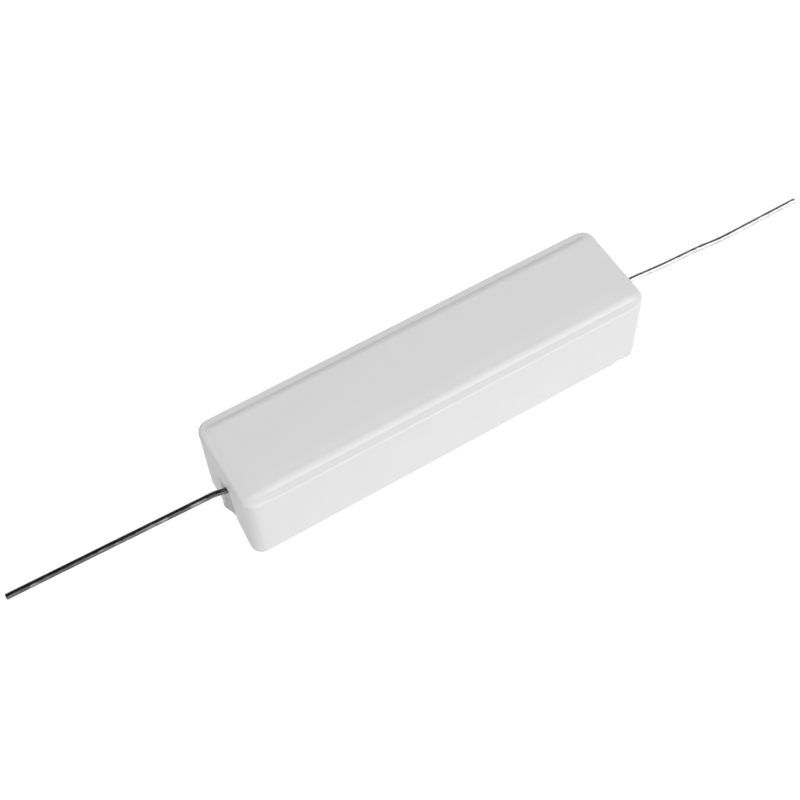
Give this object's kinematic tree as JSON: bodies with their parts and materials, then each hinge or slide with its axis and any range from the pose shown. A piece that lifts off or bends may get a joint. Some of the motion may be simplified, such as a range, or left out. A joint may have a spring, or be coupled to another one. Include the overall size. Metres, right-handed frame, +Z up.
{
  "type": "axial resistor",
  "caption": "Cement-filled wirewound power resistor: a long white ceramic trough with a raised top panel and a solid wire lead out of each end.",
  "frame": {"origin": "middle of the ceramic case in plan, at the plane of its rim, which the part stands on", "axes": "+X along the leads towards the right lead, +Z up out of the closed top of the case"},
  "size_m": [0.1213, 0.0142, 0.013],
  "materials": {
    "case_ceramic": "smooth matt white",
    "cement": "rough matt grey",
    "core_ceramic": "matt off-white",
    "resistance_wire": "drawn alloy wire",
    "cap_metal": "tinned pressed steel",
    "tinned_wire": "tinned, drawn and slightly dull"
  },
  "bodies": {
    "root": {"ceramic_case": "case_ceramic", "cement_fill": "cement", "core_rod": "core_ceramic", "resistance_winding": "resistance_wire", "end_cap_left": "cap_metal", "end_cap_right": "cap_metal", "lead_left": "tinned_wire", "lead_right": "tinned_wire"}
  },
  "joints": []
}
